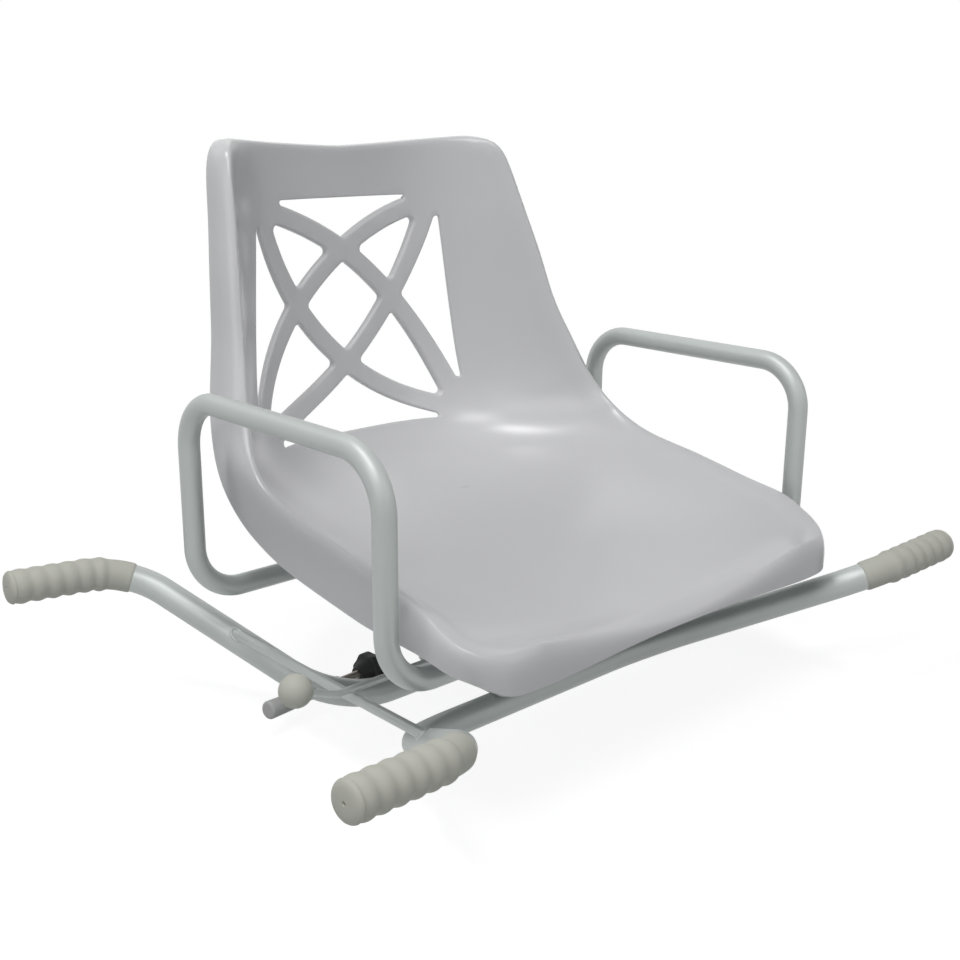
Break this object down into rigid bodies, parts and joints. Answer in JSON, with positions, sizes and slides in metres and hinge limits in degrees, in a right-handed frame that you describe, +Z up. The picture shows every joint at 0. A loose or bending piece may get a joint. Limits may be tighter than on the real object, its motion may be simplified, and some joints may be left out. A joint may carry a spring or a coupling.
{
  "type": "swivel bath chair",
  "caption": "Bath chair with a moulded bucket seat and arm loops that turns and locks on a tube frame hung across the bath, with screw-out feet.",
  "frame": {"origin": "on the swivel axis, level with the underside of the two cross tubes", "axes": "+Z up along the swivel axis; the seat faces -Y; +X runs along the cross tubes"},
  "size_m": [0.7316, 0.5198, 0.5035],
  "materials": {
    "painted_steel": "semi-gloss light grey paint",
    "zinc_steel": "bright zinc plate",
    "dark_thread": "plain oiled thread",
    "seat_plastic": "satin moulded white-grey plastic",
    "ivory_plastic": "soft ivory sleeve plastic",
    "grey_plastic": "matt grey plastic",
    "black_plastic": "matt black plastic",
    "nylon": "natural nylon"
  },
  "bodies": {
    "frame": {"base_plate": "painted_steel", "bearing_plate": "painted_steel", "front_frame_tube": "painted_steel", "front_left_grip": "ivory_plastic", "front_right_grip": "ivory_plastic", "kingpin": "zinc_steel", "kingpin_nut": "zinc_steel", "kingpin_washer": "zinc_steel", "left_brace_rod": "painted_steel", "left_screw_bush": "painted_steel", "lever_pivot_bolt": "zinc_steel", "lever_pivot_nut": "zinc_steel", "lever_pivot_washer": "nylon", "pedestal_tube": "painted_steel", "pivot_spring": "zinc_steel", "rear_frame_tube": "painted_steel", "rear_left_grip": "ivory_plastic", "rear_right_grip": "ivory_plastic", "right_brace_rod": "painted_steel", "right_screw_bush": "painted_steel", "thrust_washer": "nylon"},
    "seat": {"index_disc": "zinc_steel", "hub_spacer": "painted_steel", "swivel_plate": "painted_steel", "left_armrest": "painted_steel", "right_armrest": "painted_steel", "seat_shell": "seat_plastic", "seat_screw_front_left": "zinc_steel", "seat_screw_front_right": "zinc_steel", "seat_screw_rear_left": "zinc_steel", "seat_screw_rear_right": "zinc_steel"},
    "lever": {"latch_bar": "zinc_steel", "lever_rod": "painted_steel", "lever_ball": "ivory_plastic"},
    "left_foot": {"left_foot": "grey_plastic"},
    "left_screw": {"left_screw": "dark_thread", "left_star_knob": "black_plastic"},
    "right_foot": {"right_foot": "grey_plastic"},
    "right_screw": {"right_screw": "dark_thread", "right_star_knob": "black_plastic"}
  },
  "joints": [
    {"name": "seat_swivel", "type": "hinge", "parent": "frame", "child": "seat", "pos_m": [0, 0, 0.0829], "axis": [0, 0, 1], "continuous": true},
    {"name": "lever_lock", "type": "hinge", "parent": "frame", "child": "lever", "pos_m": [-0.085, -0.054, 0.0829], "axis": [0, 0, 1], "range_deg": [0, 6.5]},
    {"name": "left_foot_slide", "type": "slide", "parent": "frame", "child": "left_foot", "axis": [-0.9863, -0.1562, 0.0523], "range_m": [-0.015, 0]},
    {"name": "left_screw_turn", "type": "hinge", "parent": "left_foot", "child": "left_screw", "pos_m": [-0.15587, 0.0671, 0.02381], "axis": [-0.9863, -0.1562, 0.0523], "range_deg": [-4321, 0]},
    {"name": "right_foot_slide", "type": "slide", "parent": "frame", "child": "right_foot", "axis": [0.9863, -0.1562, 0.0523], "range_m": [-0.015, 0]},
    {"name": "right_screw_turn", "type": "hinge", "parent": "right_foot", "child": "right_screw", "pos_m": [0.15587, 0.0671, 0.02381], "axis": [0.9863, -0.1562, 0.0523], "range_deg": [-4321, 0]}
  ],
  "couplings": [
    {"joint": "left_screw_turn", "follows": "left_foot_slide", "rad_per_m": 5026.5},
    {"joint": "right_screw_turn", "follows": "right_foot_slide", "rad_per_m": 5026.5}
  ]
}
